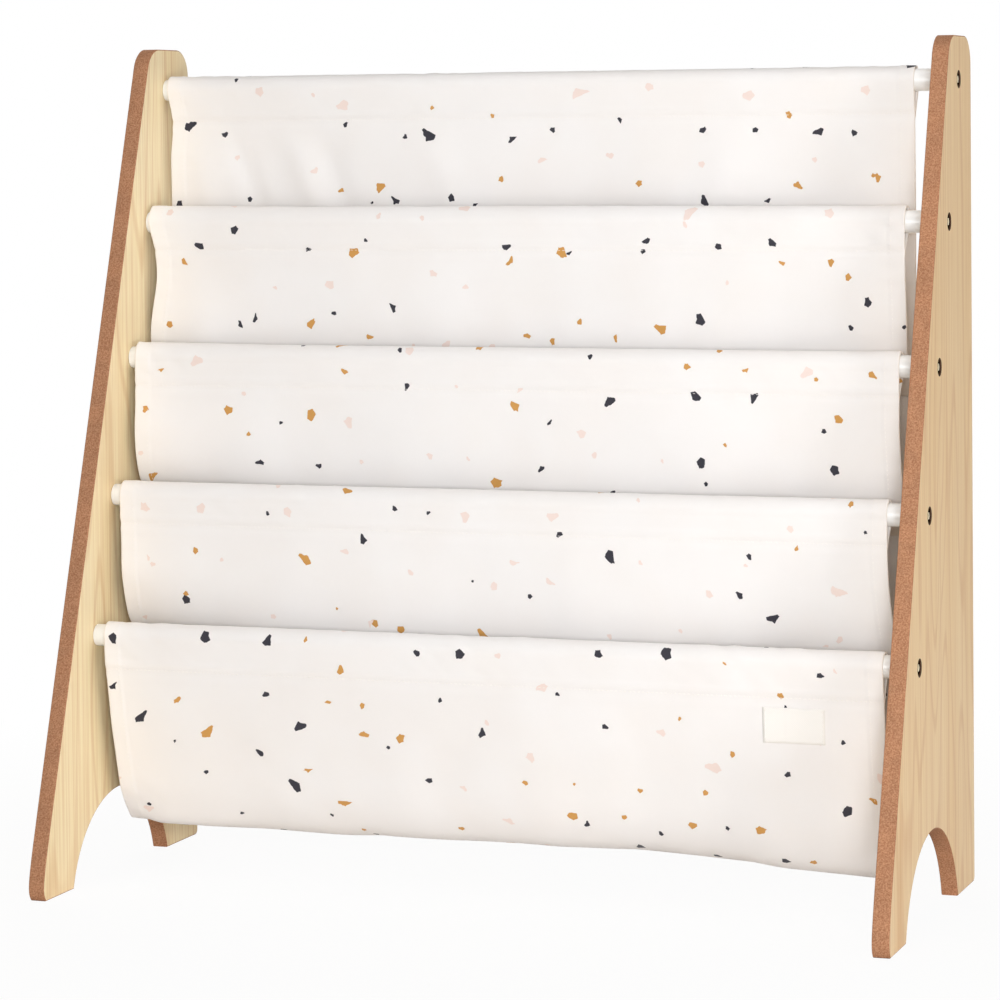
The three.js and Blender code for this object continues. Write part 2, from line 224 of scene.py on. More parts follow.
# %% Materials: white powder coat, zinc plate, bronzed steel
powder_coat, tree, shader, place = new_material("white_powder_coat")
peel = add(tree, "TexNoise", {"Vector": place, "Scale": METRE / 1.6, "Detail": 1})
white = add(tree, "Mix", {0: peel, 6: colour("#F3F5F7"), 7: colour("#F8F9FA")},
            data_type="RGBA")
peel_bump = add(tree, "Bump", {"Height": peel, "Distance": 0.03 * MM, "Strength": 0.5})
fill(shader, {"Base Color": white, "Normal": peel_bump, "Roughness": 0.32})

zinc, tree, shader, place = new_material("zinc_plated_steel")
spangle = add(tree, "TexVoronoi", {"Vector": place, "Scale": METRE / 2.5})
zinc_tone = add(tree, "Mix", {0: spangle.outputs["Distance"], 6: colour("#B9BCBE"),
                              7: colour("#A9ACAE")}, data_type="RGBA")
fill(shader, {"Base Color": zinc_tone, "Metallic": 1, "Roughness": 0.38})

bronzed, tree, shader, place = new_material("bronzed_steel")
oxide = add(tree, "TexNoise", {"Vector": place, "Scale": METRE / 1.2, "Detail": 3})
oxide_share = add(tree, "MapRange", {"Value": oxide, "From Min": 0.35, "From Max": 0.65})
oxide_tone = add(tree, "Mix", {0: oxide_share, 6: colour("#36271B"),
                               7: colour("#5E452F")}, data_type="RGBA")
rough = add(tree, "MapRange", {"Value": oxide, "To Min": 0.28, "To Max": 0.5})
# The oxide drinks light also at a low angle, where bare metal would shine white
fill(shader, {"Base Color": oxide_tone, "Metallic": 1, "Roughness": rough,
              "Specular Tint": colour("#6E5A46")})

# Painted glint: the socket walls take a bright cream steel colour, standing for the light that
# catches in them
socket_glint, tree, shader, place = new_material("socket_painted_glint_steel")
glint_noise = add(tree, "TexNoise", {"Vector": place, "Scale": METRE / 0.5, "Detail": 1})
bright = add(tree, "Mix", {0: glint_noise, 6: colour("#D9C9AC"), 7: colour("#F7ECD6")},
             data_type="RGBA")
fill(shader, {"Base Color": bright, "Metallic": 1, "Roughness": 0.5})
print("metals ready:", powder_coat.name, zinc.name, bronzed.name, socket_glint.name)

# %% [markdown]
# ## Printed canvas
# The slings are ivory cotton canvas with a scattered print of small chips, like a terrazzo floor.
# Terrazzo chips are broken stone, so they have straight sides and sharp corners. A Voronoi pattern
# scatters one point in each of its cells and gives each a random colour, which here sets the turn,
# the size and the ink of the chip round that point. The chip itself is five straight cuts: a place
# is inside it when it is inside all five. Two such layers, one of larger and one of smaller chips,
# keep the print from looking like a grid. It reads the cloth's own UV map, which is in real metres
# along the weave, so the print bends with the cloth and never stretches.

# %% Material: printed canvas, its chips
canvas, tree, shader, weave_place = new_material("printed_cotton_canvas", along_weave=True)
# Broken stone has nicks, and screen printing rounds them: a noise 4 mm across moves the edges by
# up to a millimetre
rough_edge = add(tree, "TexNoise", {"Vector": weave_place, "Scale": METRE / 4.0, "Detail": 1},
                 noise_dimensions="2D")
# The straight cuts of a chip: the way each faces, in degrees, and its share of the chip's size
cuts = ((0, 1.0), (64, 0.8), (148, 1.15), (205, 0.75), (290, 0.9))
chip_layers = []
for spacing, smallest, largest, shift in ((52, 2.0, 4.2, 0.0), (50, 1.3, 2.5, 0.37)):
    in_cells = add(tree, "Mapping", {"Vector": weave_place, "Location": (shift, shift, 0),
                                     "Scale": (METRE / spacing, METRE / spacing, 1)})
    scatter = add(tree, "TexVoronoi", {"Vector": in_cells, "Scale": 1, "Randomness": 0.85},
                  voronoi_dimensions="2D")
    chance = add(tree, "SeparateColor", {"Color": scatter.outputs["Color"]})
    more_chance = add(tree, "TexWhiteNoise", {"Vector": scatter.outputs["Position"]},
                      noise_dimensions="2D")
    cut_chance = add(tree, "SeparateColor", {"Color": more_chance.outputs["Color"]})
    from_middle = add(tree, "VectorMath", {0: in_cells, 1: scatter.outputs["Position"]},
                      operation="SUBTRACT")
    in_mm = add(tree, "VectorMath", {0: from_middle, "Scale": float(spacing)},
                operation="SCALE")
    turn = add(tree, "Math", {0: chance.outputs[0], 1: math.tau}, operation="MULTIPLY")
    turned = add(tree, "VectorRotate", {"Vector": in_mm, "Angle": turn},
                 rotation_type="Z_AXIS")
    length_share = add(tree, "MapRange", {"Value": cut_chance.outputs[1], "To Min": 0.58,
                                          "To Max": 1.2})
    lengthen = add(tree, "CombineXYZ", {"X": length_share, "Y": 1.0, "Z": 1.0})
    turned = add(tree, "VectorMath", {0: turned, 1: lengthen},
                 operation="MULTIPLY")
    deepest = None
    for step, (angle, reach) in enumerate(cuts):
        cut = (math.cos(math.radians(angle)), math.sin(math.radians(angle)), 0)
        along = add(tree, "VectorMath", {0: turned, 1: cut}, operation="DOT_PRODUCT")
        room = add(tree, "MapRange", {"Value": cut_chance.outputs[step % 3],
                                      "To Min": reach * (0.6 if step % 2 else 1.3),
                                      "To Max": reach * (1.3 if step % 2 else 0.6)})
        share = add(tree, "Math", {0: along, 1: room}, operation="DIVIDE")
        deepest = share if deepest is None else add(
            tree, "Math", {0: deepest, 1: share}, operation="MAXIMUM")
    size = add(tree, "MapRange", {"Value": chance.outputs[2], "To Min": smallest,
                                  "To Max": largest})
    nicked = add(tree, "Math", {0: rough_edge, 1: 2.0, 2: deepest},
                 operation="MULTIPLY_ADD")
    inside = add(tree, "Math", {0: size, 1: nicked}, operation="SUBTRACT")
    printed_here = add(tree, "MapRange", {"Value": inside, "From Min": -1.05,
                                          "From Max": -0.8})
    chip_layers.append((printed_here, chance))
print("chip layers:", len(chip_layers))

# %% Material: printed canvas, its colours
# The bleached ground has a faint warm cloudiness, 70 mm across
tone = add(tree, "TexNoise", {"Vector": weave_place, "Scale": METRE / 70, "Detail": 2},
           noise_dimensions="2D")
tone_share = add(tree, "MapRange", {"Value": tone, "From Min": 0.35, "From Max": 0.65})
cotton = add(tree, "Mix", {0: tone_share, 6: colour("#FAF6F4"), 7: colour("#F9F4F1")},
             data_type="RGBA")
for printed_here, chance in chip_layers:
    ink = add(tree, "ValToRGB", {"Fac": chance.outputs[1]})
    ink.color_ramp.interpolation = "CONSTANT"
    ink.color_ramp.elements[0].color = colour("#3D3B43")
    ink.color_ramp.elements[1].position = 0.36
    ink.color_ramp.elements[1].color = colour("#D49C55")
    ink.color_ramp.elements.new(0.66).color = colour("#F6E3DB")
    cotton = add(tree, "Mix", {0: printed_here, 6: cotton,
                               7: ink.outputs["Color"]}, data_type="RGBA")
# Plain weave: threads 0.5 mm apart, over and under, 0.05 mm deep
threads = add(tree, "VectorMath", {0: weave_place, "Scale": math.pi * METRE / 0.5},
              operation="SCALE")
thread_axes = add(tree, "SeparateXYZ", {"Vector": threads})
warp = add(tree, "Math", {0: thread_axes.outputs[0]}, operation="SINE")
weft = add(tree, "Math", {0: thread_axes.outputs[1]}, operation="SINE")
weave = add(tree, "Math", {0: warp, 1: weft}, operation="MULTIPLY")
weave_bump = add(tree, "Bump", {"Height": weave, "Distance": 0.05 * MM, "Strength": 0.35})
fill(shader, {"Base Color": cotton, "Normal": weave_bump, "Roughness": 0.9,
              "Specular IOR Level": 0.2, "Sheen Weight": 0.15})
print("canvas has", len(tree.nodes), "nodes")

# %% [markdown]
# ## Sewing thread and label tape
# Thread is twisted from a few strands, so it catches light in slanted bands; here these bands are
# painted sheen in its colour. The label is a smooth cream tape woven as twill, whose threads step
# aside and draw fine diagonals.
# It stays bare here: nothing is printed on it.

# %% Materials: sewing thread, label tape
thread, tree, shader, place = new_material("polyester_sewing_thread")
# Blender's wave texture runs through 20 radians in a unit, so this scale gives bands a metre apart
metre_bands = math.tau / 20
# Strands 0.6 mm apart, drawn as coarse as that to show at all; their lighter bands are painted
# sheen
twist = add(tree, "TexWave", {"Vector": place, "Scale": metre_bands * METRE / 0.6,
                              "Distortion": 0.4}, bands_direction="DIAGONAL")
thread_tone_with_painted_sheen = add(tree, "Mix", {0: twist.outputs["Fac"], 6: colour("#F3ECE4"),
                                7: colour("#FBF8F3")}, data_type="RGBA")
fill(shader, {"Base Color": thread_tone_with_painted_sheen, "Roughness": 0.55})

label_tape, tree, shader, weave_place = new_material("woven_label_tape", along_weave=True)
# Twill lines 0.8 mm apart
twill = add(tree, "TexWave", {"Vector": weave_place, "Scale": metre_bands * METRE / 0.8},
            bands_direction="DIAGONAL")
tape_tone = add(tree, "Mix", {0: twill.outputs["Fac"], 6: colour("#FCF7F1"), 7: colour("#FEFAF5")},
                data_type="RGBA")
twill_bump = add(tree, "Bump", {"Height": twill.outputs["Fac"], "Distance": 0.04 * MM,
                                "Strength": 0.4})
fill(shader, {"Base Color": tape_tone, "Normal": twill_bump, "Roughness": 0.75,
              "Sheen Weight": 0.1})
print("thread and tape ready")

# %% [markdown]
# ## From a bmesh to a finished piece
# A bmesh is Blender's mesh while it is being built. When a shape is done it becomes an object,
# rides on the frame's one body, and hides the CAD nodes that it stands for. Its object stays at the
# origin, because its place is in its mesh, just as in the CAD.

# %% Helper: finish a piece
def make_piece(name, shape, materials, stands_for=()):
    mesh = bpy.data.meshes.new(name)
    shape.to_mesh(mesh)
    shape.free()
    for material in materials:
        mesh.materials.append(material)
    piece = put_in_scene(name, mesh)
    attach(piece, "root")
    if stands_for:
        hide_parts(*stands_for)
    print(name, "has", len(mesh.polygons), "faces")
    return piece


# %% [markdown]
# ## Sizes of the shelf
# These are the same sizes as in the CAD: the panels, and the axes of the five rods from the top
# one down. Y runs to the back and Z up. Each rod is 100 mm lower and 33 mm further forward than
# the one above it, which makes the front lean back.

# %% Sizes
inner_face = 301.5 * MM
board_thickness = 12 * MM
shelf_height, half_depth, top_depth, toe_rise = 610, 133, 68.4, 16.5
# How far the front edge leans back for each step up
edge_slope = (2 * half_depth - top_depth) / (shelf_height - toe_rise)
rod_radius = 8 * MM
top_rod_height, rod_step, rod_inset = 579, 100, 38.7
rods = []
for i in range(5):
    rod_height = top_rod_height - rod_step * i
    rod_depth = rod_inset - half_depth + (rod_height - toe_rise) * edge_slope
    rods.append(Vector((0, rod_depth, rod_height)) * MM)
print("rod axes (Y, Z) in mm:", [(round(r.y / MM, 1), round(r.z / MM, 1)) for r in rods])

# %% [markdown]
# ## Side panels
# Each panel is a board cut on a router: a sloping front edge with a soft toe, round top corners,
# and a round arch between its feet. It could be cut from a block with booleans, but a drawn
# outline gives clean edges. The corners are drawn sharp and rounded with a vertex bevel, the arch
# is one vertex spun round its centre, and the outline is filled and extruded. Then the two rims
# get the fine round-over that the sanding leaves, with the foil ending at it.

# %% Helper: the outline of a panel
def panel_outline(shape, across):
    def at(depth, height):
        return shape.verts.new((across, depth * MM, height * MM))

    # The toe is a soft curve in two parts, from the floor up to the sloping edge
    def bend(start, handle, end):
        start, handle, end = (Vector((0, *p)) for p in (start, handle, end))
        return geometry.interpolate_bezier(start, start.lerp(handle, 2 / 3),
                                           end.lerp(handle, 2 / 3), end, 9)

    widest, toe_top_height = 9.1, 2.5 * toe_rise
    toe_top = ((toe_top_height - toe_rise) * edge_slope - half_depth, toe_top_height)
    under = bend((3.5 - half_depth, 0), (-half_depth, 3.3), (-half_depth, widest))
    upper = bend((-half_depth, widest), (-half_depth, toe_rise), toe_top)
    toe = [at(p.y, p.z) for p in under + upper[1:]]
    top_front = at(half_depth - top_depth, shelf_height)
    top_rear = at(half_depth, shelf_height)
    heel = at(half_depth, 0)
    # The arch is a part of a circle, whose centre is below the floor
    arch_start, arch_end, arch_rise = -84.5, 76.5, 61.5
    arch_rear = at(arch_end, 0)
    half_span = (arch_end - arch_start) / 2
    radius = (half_span ** 2 + arch_rise ** 2) / (2 * arch_rise)
    centre = Vector((across, (arch_end + arch_start) / 2 * MM, (arch_rise - radius) * MM))
    swing = 2 * math.atan2(half_span, radius - arch_rise)
    bmesh.ops.spin(shape, geom=[arch_rear], cent=centre, axis=(1, 0, 0), angle=swing, steps=56)
    arch_front = min((v for v in shape.verts if v.co.y < centre.y and v.link_edges),
                     key=lambda v: v.co.z)
    chain = [arch_front, *toe, top_front, top_rear, heel, arch_rear]
    for first, second in zip(chain, chain[1:]):
        shape.edges.new((first, second))
    face = bmesh.ops.contextual_create(shape, geom=shape.edges[:])["faces"][0]
    return face, top_front, top_rear, heel


# %% Helper: round the corners of a flat face
def round_corner(shape, corner, reach, segments):
    bmesh.ops.bevel(shape, geom=[corner], offset=reach, offset_type="OFFSET", segments=segments,
                    profile=0.5, affect="VERTICES", material=-1)


# %% Helper: a ring of edges across the panel
def ring(shape, rod, across, radius, segments):
    place = Matrix.Translation((across, rod.y, rod.z)) @ Matrix.Rotation(math.pi / 2, 4, "Y")
    verts = bmesh.ops.create_circle(shape, cap_ends=False, segments=segments, radius=radius,
                                    matrix=place)["verts"]
    return list(dict.fromkeys(edge for v in verts for edge in v.link_edges))


# %% Side panels
corner_radius, heel_radius = 20 * MM, 4 * MM
bore_radius, bore_depth, shank_hole_radius = 6.5 * MM, 4 * MM, 3.3 * MM


def side_panel(name, outward, node):
    inner, outer = inner_face * outward, (inner_face + board_thickness) * outward
    shape = bmesh.new()
    face, top_front, top_rear, heel = panel_outline(shape, inner)
    # A round corner starts this far from its point, also where it isn't square
    lean = math.atan(edge_slope)
    round_corner(shape, top_front, corner_radius * math.tan((math.pi / 2 - lean) / 2), 20)
    round_corner(shape, top_rear, corner_radius, 24)
    round_corner(shape, heel, heel_radius, 8)
    grown = bmesh.ops.extrude_face_region(shape, geom=shape.faces[:])["geom"]
    bmesh.ops.translate(shape, vec=(outer - inner, 0, 0),
                        verts=[g for g in grown if isinstance(g, bmesh.types.BMVert)])
    bmesh.ops.recalc_face_normals(shape, faces=shape.faces)
    # The sanded rims
    caps = [f for f in shape.faces if abs(f.normal.x) > 0.9]
    rims = [edge for cap in caps for edge in cap.edges]
    bmesh.ops.bevel(shape, geom=rims, offset=0.7 * MM, offset_type="OFFSET", segments=3,
                    profile=0.5, affect="EDGES", material=-1)
    # The caps are opened and filled again round the screw holes
    caps = [f for f in shape.faces if abs(f.normal.x) > 0.999]
    caps = sorted(caps, key=lambda f: -f.calc_area())[:2]
    middle = (inner + outer) / 2
    rim_of = {(cap.calc_center_median().x - middle) * outward > 0: cap.edges[:] for cap in caps}
    bmesh.ops.delete(shape, geom=caps, context="FACES_ONLY")
    bore_floor = outer - outward * bore_depth
    inner_rings, outer_rings = [], []
    for rod in rods:
        small, small_deep, wide_deep, wide = [
            ring(shape, rod, across, radius, 40) for across, radius in (
                (inner, shank_hole_radius), (bore_floor, shank_hole_radius),
                (bore_floor, bore_radius), (outer, bore_radius))]
        for pair in (small + small_deep, small_deep + wide_deep, wide_deep + wide):
            bmesh.ops.bridge_loops(shape, edges=pair)
        inner_rings += small
        outer_rings += wide
    bmesh.ops.triangle_fill(shape, use_beauty=True, edges=rim_of[False] + inner_rings,
                            normal=(-outward, 0, 0))
    bmesh.ops.triangle_fill(shape, use_beauty=True, edges=rim_of[True] + outer_rings,
                            normal=(outward, 0, 0))
    bmesh.ops.remove_doubles(shape, verts=shape.verts, dist=0.001 * MM)
    bmesh.ops.recalc_face_normals(shape, faces=shape.faces)
    for f in shape.faces:
        spot = f.calc_center_median()
        to_face = min(abs(spot.x - inner), abs(spot.x - outer))
        to_axis = min(math.hypot(spot.y - rod.y, spot.z - rod.z) for rod in rods)
        flat_cap = abs(f.normal.x) > 0.999 and to_face < 0.1 * MM
        in_bore = not flat_cap and to_axis < bore_radius + 0.1 * MM
        # The bore walls take the board with painted shade
        f.material_index = 0 if flat_cap else 2 if in_bore else 1
        f.smooth = True
    for edge in shape.edges:
        edge.smooth = edge.calc_face_angle(0) < math.radians(50)
    print(name, "open edges:", sum(not edge.is_manifold for edge in shape.edges))
    panel = make_piece(name, shape, [maple_foil, raw_board, bore_shade_board], [node])
    # Large faces keep their own normals, so only the sanded rims shade round
    shading = panel.modifiers.new("rim_shading", "WEIGHTED_NORMAL")
    shading.keep_sharp = True


side_panel("left_board", -1, "side_panel_left")
side_panel("right_board", 1, "side_panel_right")

# %% [markdown]
# ## Rods
# A rod is a cut length of thin steel tube. Its section is four points, spun once round its axis.
# The cut ends are filed, so their edges are bevelled before anything else.

# %% Helper: spin a section round a rod's axis
def spin_section(shape, rod, profile, closed, steps):
    """profile lists places across the shelf and radii, in metres."""
    points = [shape.verts.new((across, rod.y, rod.z + radius)) for across, radius in profile]
    ends = points[1:] + points[:1] if closed else points[1:]
    section = [shape.edges.new(pair) for pair in zip(points, ends)]
    bmesh.ops.spin(shape, geom=points + section, cent=rod, axis=(1, 0, 0), angle=math.tau,
                   steps=steps, use_merge=True)


# %% Rods
end_gap, tube_wall = 0.3 * MM, 1.2 * MM


def tube(name, rod, node):
    shape = bmesh.new()
    half, bore = inner_face - end_gap, rod_radius - tube_wall
    wall = [(-half, bore), (-half, rod_radius), (half, rod_radius), (half, bore)]
    spin_section(shape, rod, wall, True, 56)
    bmesh.ops.recalc_face_normals(shape, faces=shape.faces)
    filed = [e for e in shape.edges if e.calc_face_angle(0) > 1]
    bmesh.ops.bevel(shape, geom=filed, offset=0.3 * MM, segments=2, profile=0.5, affect="EDGES",
                    material=-1)
    for f in shape.faces:
        f.smooth = abs(f.normal.x) < 0.9
    make_piece(name, shape, [powder_coat], [node])


for i, rod in enumerate(rods):
    tube(f"steel_tube_{i + 1}", rod, f"rod_{i + 1}")

# %% [markdown]
# ## Screws
# Each rod is held at both ends by a connector screw with a wide flat head, sunk just below the
# panel's face, and a hexagon socket for the key in the box. The body is a section spun round its
# axis. The socket is a six-sided ring inside the head's round one: the ring between them is
# filled, and the hexagon is extruded down.

# %% Screws
def screw(name, rod, outward, node):
    shape = bmesh.new()
    tip = inner_face - 18.3 * MM
    under_head = inner_face + board_thickness - 3.7 * MM
    head_top = inner_face + board_thickness - 0.8 * MM
    profile = [(0, tip), (1.8, tip), (3, tip + 1.2 * MM), (3, under_head), (6.1, under_head),
               (6.1, head_top - 0.9 * MM), (5.9, head_top - 0.35 * MM), (5.4, head_top)]
    spin_section(shape, rod, [(outward * x, r * MM) for r, x in profile], False, 48)
    bmesh.ops.remove_doubles(shape, verts=shape.verts, dist=0.001 * MM)
    rim = [e for e in shape.edges if e.is_boundary]
    # The socket: 4 mm across its flats, with a small lead-in
    def hexagon(across, flats):
        return ring(shape, rod, outward * across, flats / 2 / math.cos(math.pi / 6) * MM, 6)

    mouth = hexagon(head_top, 4.8)
    key_edge = hexagon(head_top - 0.4 * MM, 4.0)
    socket_floor = hexagon(head_top - 2 * MM, 4.0)
    bmesh.ops.triangle_fill(shape, use_beauty=True, edges=rim + mouth, normal=(outward, 0, 0))
    bmesh.ops.bridge_loops(shape, edges=mouth + key_edge)
    bmesh.ops.bridge_loops(shape, edges=key_edge + socket_floor)
    bmesh.ops.contextual_create(shape, geom=socket_floor)
    bmesh.ops.recalc_face_normals(shape, faces=shape.faces)
    for f in shape.faces:
        centre = f.calc_center_median()
        from_axis = math.hypot(centre.y - rod.y, centre.z - rod.z)
        f.smooth = from_axis > 2.6 * MM and abs(f.normal.x) < 0.999
        # The socket walls take the painted glint
        f.material_index = int(from_axis < 2.6 * MM and centre.x * outward > head_top - 1.95 * MM)
    make_piece(name, shape, [bronzed, socket_glint], [node])


for i, rod in enumerate(rods):
    screw(f"connector_screw_{i + 1}_left", rod, -1, f"rod_{i + 1}_screw_left")
    screw(f"connector_screw_{i + 1}_right", rod, 1, f"rod_{i + 1}_screw_right")

# The inserts in the tube ends are hidden for good, so the CAD's own nodes only get their zinc
for name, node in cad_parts.items():
    if "insert" in name:
        node.data.materials.clear()
        node.data.materials.append(zinc)

# %% [markdown]
# ## The lines of the cloth
# Seen from the side, each sling is a line: up behind the rod, over it, down in front, sewn
# together under the rod, and then hanging. Cloth is soft across but stiff along its hems, so its
# left end, its middle and its right end hang in slightly different lines. Each line is a soft
# curve through a few points, and points are then taken at equal steps along it.
# Points are (behind the rod's axis, below the rod's axis) in millimetres.

# %% Helpers: the length along a path, and equal steps along a soft curve
def lengths_along(path, unit=1):
    lengths = [0.0]
    for a, b in zip(path, path[1:]):
        lengths.append(lengths[-1] + (b - a).length * unit)
    return lengths


def soft_line(points, count):
    points = [Vector(p) for p in points]
    dense = []
    for i, (start, end) in enumerate(zip(points, points[1:])):
        before, after = points[max(i - 1, 0)], points[min(i + 2, len(points) - 1)]
        reach = (end - start).length / 3
        leave = start + (end - before).normalized() * reach
        arrive = end - (after - start).normalized() * reach
        part = geometry.interpolate_bezier(start, leave, arrive, end, 24)
        dense += [Vector(p[:2]) for p in part[:-1]]
    dense.append(points[-1])
    lengths = lengths_along(dense)
    steps, at = [], 0
    for k in range(count):
        wanted = lengths[-1] * k / (count - 1)
        while at < len(lengths) - 2 and lengths[at + 1] < wanted:
            at += 1
        share = (wanted - lengths[at]) / max(lengths[at + 1] - lengths[at], 1e-9)
        steps.append(dense[at].lerp(dense[at + 1], min(share, 1.0)))
    return steps


print("round a quarter turn:", [tuple(round(c, 1) for c in p)
                                for p in soft_line([(0, 0), (7, 3), (10, 10)], 4)])


# %% Helper: the sleeve round a rod
cloth_thickness, hem_thickness = 0.8, 1.2
sleeve_radius = rod_radius / MM + 0.3 + cloth_thickness / 2
ply = cloth_thickness / 2 + 0.05  # from the middle of a seam to the middle of each of its plies


def sleeve_line(seam, puff):
    loop = []
    for degrees in range(-15, 196, 15):
        side, up = math.cos(math.radians(degrees)), math.sin(math.radians(degrees))
        loop.append((sleeve_radius * side, -(sleeve_radius + puff * max(up, 0)) * up))
    lip = ply + 0.9  # the rear ply keeps clear of the groove that the thread pulls into the front
    return [(seam[0] + lip, seam[1] + 2.5), (seam[0] + lip, seam[1]), *loop,
            (seam[0] - ply, seam[1])]


print("sleeve rows:", len(soft_line(sleeve_line((-5, 24), 1), 34)))

# %% Helpers: a share between 0 and 1, and a value that eases from one place to the next
def share_of(part):
    return min(max(part, 0.0), 1.0)


def eased(steps, at):
    """steps are (place, value); between two of them the value follows a smooth step."""
    for (start, low), (end, high) in zip(steps, steps[1:]):
        if at < end:
            share = share_of((at - start) / (end - start))
            return low + (high - low) * share * share * (3 - 2 * share)
    return steps[-1][1]


print("halfway from 0 to 10:", eased(((0, 0), (1, 10)), 0.5))

# %% Lines of the tier panels and of the big sling
back_plane = 89.0  # the back sheet's depth, in mm
# How far below the rod each sleeve is sewn, and each tier panel to the back
tier_seam, sling_seam, sewn_drop = 20.5, 24, 120.5
sleeve_rows, tier_rows, sling_rows = 52, 48, 160

# For each tier: its rod, how far its two hems reach at each row below the seam, how much its right
# end swings out, how far its sleeve puffs up, and three lines (left end, middle, right end), each
# from the seam down
tier_lines = {
    2: dict(rod=1, left_hem=((-16, -298.3), (3, -293.8), (7, -293.8), (28, -298.6)),
            right_hem=((0, 283.6), (8, 283.2)), flare=1.0, puffs=(3.6, 2.6, 2.2), lines=(
        [(-6.0, 20.5), (-4.8, 39.5), (-8.0, 62), (-8.5, 80), (-4.5, 97), (8, 115), (27.6, 124.5)],
        [(-7.4, 20.5), (-7.6, 42), (-7.4, 65), (-7.0, 82), (-5.6, 96), (1.6, 110), (27.6, 125)],
        [(-7.8, 20.5), (-8.2, 42), (-7.8, 65), (-6.8, 84), (-4.8, 97), (2.5, 111), (27.6, 125)])),
    3: dict(rod=2, left_hem=((0, -295.6), (8, -294.8)),
            right_hem=((0, 286.8), (8, 286.0)), flare=2.0, puffs=(2.4, 1.3, 1.3), lines=(
        [(-8.0, 20.5), (-8.6, 33), (-10.6, 54), (-8.0, 76), (-1.0, 92), (20, 112), (61, 125)],
        [(-7.6, 20.5), (-7.8, 42), (-7.4, 65), (-6.4, 82), (-4.0, 96), (8, 111), (61, 125)],
        [(-7.8, 20.5), (-7.6, 42), (-6.8, 62), (-5.2, 80), (-1.8, 94), (10, 109), (61, 125)])),
    4: dict(rod=3, left_hem=((0, -293.8), (8, -293.4), (18, -293.4), (34, -291.8)),
            right_hem=((0, 285.6), (8, 285.2)), flare=5.0, puffs=(1.3, 1.3, 1.3), lines=(
        [(-6.8, 20.5), (-6.6, 32), (-7.2, 57), (-1.5, 80), (6.5, 95), (34, 114), (94, 125)],
        [(-7.5, 20.5), (-7.3, 42), (-7.0, 65), (-5.6, 82), (-2.6, 96), (12, 112), (94, 125)],
        [(-7.8, 20.5), (-7.2, 42), (-5.6, 62), (-3.0, 80), (1.2, 94), (15, 109), (94, 125)])),
}
sling_lines = (
    [(-5.4, 24), (-4.0, 31), (2.0, 65), (8.7, 89), (15.2, 112), (22.5, 129.5), (26.5, 138),
     (31.5, 143.6), (42, 146.2), (64.6, 146.5), (91, 142), (113, 127), (125.5, 105), (129.0, 75),
     (129.2, 0), (129.2, -200), (128.8, -330), (128.0, -376)],
    [(-5.0, 24), (-3.4, 33), (2.3, 66), (9.6, 90), (17.6, 114), (28.4, 131), (41.3, 142),
     (64.6, 148.2), (91.7, 143), (113, 128), (125.5, 105), (129.2, 75), (129.2, 0), (129.2, -200),
     (129.2, -330), (128.6, -376)],
    [(-4.2, 24), (-3.0, 31), (2.2, 66), (9.8, 92), (17.4, 117), (28.0, 137), (41.0, 149.5),
     (64.6, 156.4), (91.7, 151), (113, 134), (125.6, 109), (129.2, 77), (129.2, 0), (129.2, -200),
     (129.2, -330), (128.6, -376)],
)
print("tiers:", sorted(tier_lines), "points in the sling's line:", len(sling_lines[0]))

# %% [markdown]
# ## A surface from three lines
# The cloth at any place across the shelf is a blend of the three lines. On top of that come the
# soft folds that cotton keeps: wide waves that fade towards the seam, and short puckers where
# the needle has drawn the cloth in. The noise comes from Blender's own, which needs no seed, so
# every run gives the same folds.

# %% Helper: how much each line counts at a place across
def blend_shares(u):
    left, right = eased(((0, 1), (0.22, 0)), u), eased(((0.6, 0), (1, 1)), u)
    return left, max(1 - left - right, 0.0), right


print("a fifth of the way across:", [round(share, 2) for share in blend_shares(0.2)])


# %% Helper: folds, in millimetres out of the cloth's surface
def fold_height(across, drop, tier, folds):
    """across and drop are in millimetres; drop is measured down from the seam."""
    rise = share_of(drop / 26)
    # Wide waves about 105 mm apart, narrower ones 38 mm apart, and the folds that are given
    wave = 2.7 * noise.noise(Vector((across / 105, drop / 160, tier * 7.3)))
    wave += 1.2 * noise.noise(Vector((across / 38, drop / 70, tier * 3.1 + 20)))
    for place, lean, width, height in folds:
        off = (across - place - lean * drop) / width
        wave += height * math.exp(-off * off)
    # Puckers 7.5 mm apart, close to the seam
    pucker = 0.28 * noise.noise(Vector((across / 7.5, tier * 5.7, drop / 40)))
    pucker *= math.exp(-((drop - 3) / 9) ** 2)
    return wave * rise + pucker


print("a place 50 mm below a seam stands out", round(fold_height(0, 50, 2, ()), 2), "mm")


# %% Helper: the groove that the thread pulls in along a seam, in millimetres
def groove(distance):
    swell = 0.25 * math.exp(-((abs(distance) - 4.5) / 2) ** 2)
    return swell - 0.8 * math.exp(-(distance / 1.8) ** 2)


print("the thread pulls in", round(-groove(0), 2), "mm")


# %% Helper: slanted wrinkles of a sleeve that was pushed along its rod, in millimetres
def sleeve_wrinkle(across, around, tier, from_seam):
    pushed = noise.noise(Vector((across / 80, tier * 4.1, 3.3)))
    if tier in (1, 5):
        pushed = max(pushed, 0) + 0.5 * math.exp(-((across + 262) / 36) ** 2)
    slanted = noise.noise(Vector(((across + 0.8 * around) / 9, around / 26, tier * 2.7)))
    return slanted * (0.15 + 1.4 * max(pushed, 0)) * min(abs(from_seam) / 8, 1)


# %% Helper: puckers that the stitches draw along a side hem, in millimetres
sheet_width, hem_width, hem_seam = 580, 12, 10.2


def hem_pucker(share, point):
    from_edge = min(share, 1 - share) * sheet_width
    drawn = noise.noise(Vector((9 * round(share), point.y / 8, point.z / 8)))
    return 0.65 * drawn * math.exp(-((from_edge - 10) / 8) ** 2)


